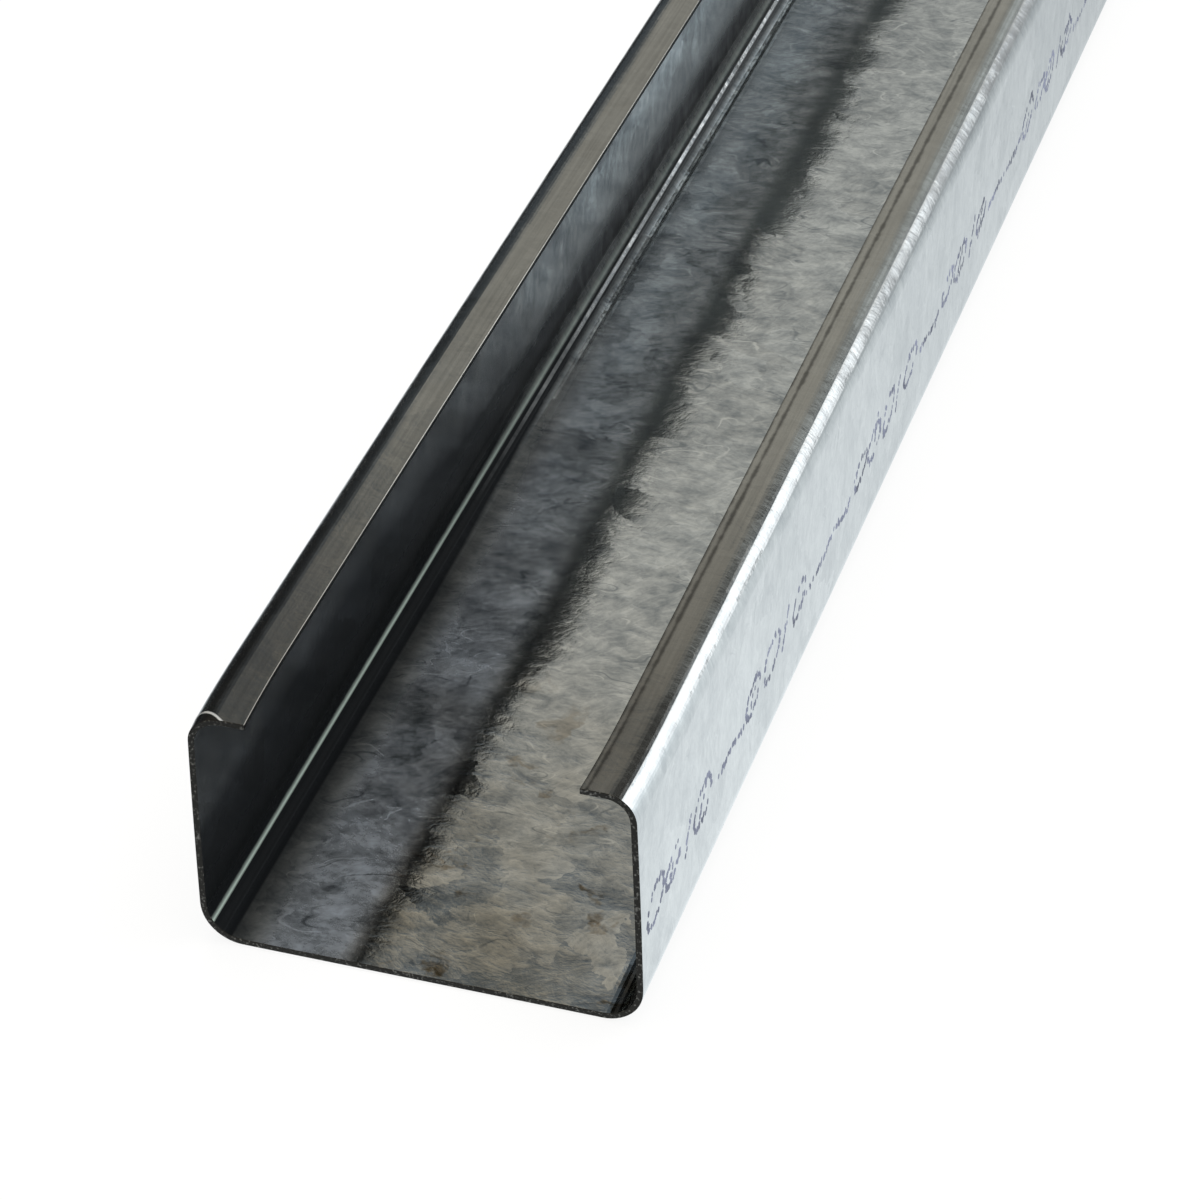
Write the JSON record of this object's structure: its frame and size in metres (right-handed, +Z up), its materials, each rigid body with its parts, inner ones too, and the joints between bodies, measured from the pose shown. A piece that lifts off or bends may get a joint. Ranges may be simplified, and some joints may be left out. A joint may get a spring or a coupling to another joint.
{
  "type": "drywall metal stud",
  "caption": "Lipped C-section wall stud roll-formed from galvanised steel strip: flat web, upright flanges and turned-in lips, open along one side.",
  "frame": {"origin": "under the middle of the web's outer face, at mid-length, on the floor that the stud lies on", "axes": "+X across the web, +Y along the length, +Z up from the web's outer face towards the open side"},
  "size_m": [0.064, 2.44, 0.038],
  "materials": {
    "galvanised_steel": "hot-dip galvanised steel strip with a faint spangle, roll-formed, with sheared ends"
  },
  "bodies": {
    "root": {"stud": "galvanised_steel"}
  },
  "joints": []
}
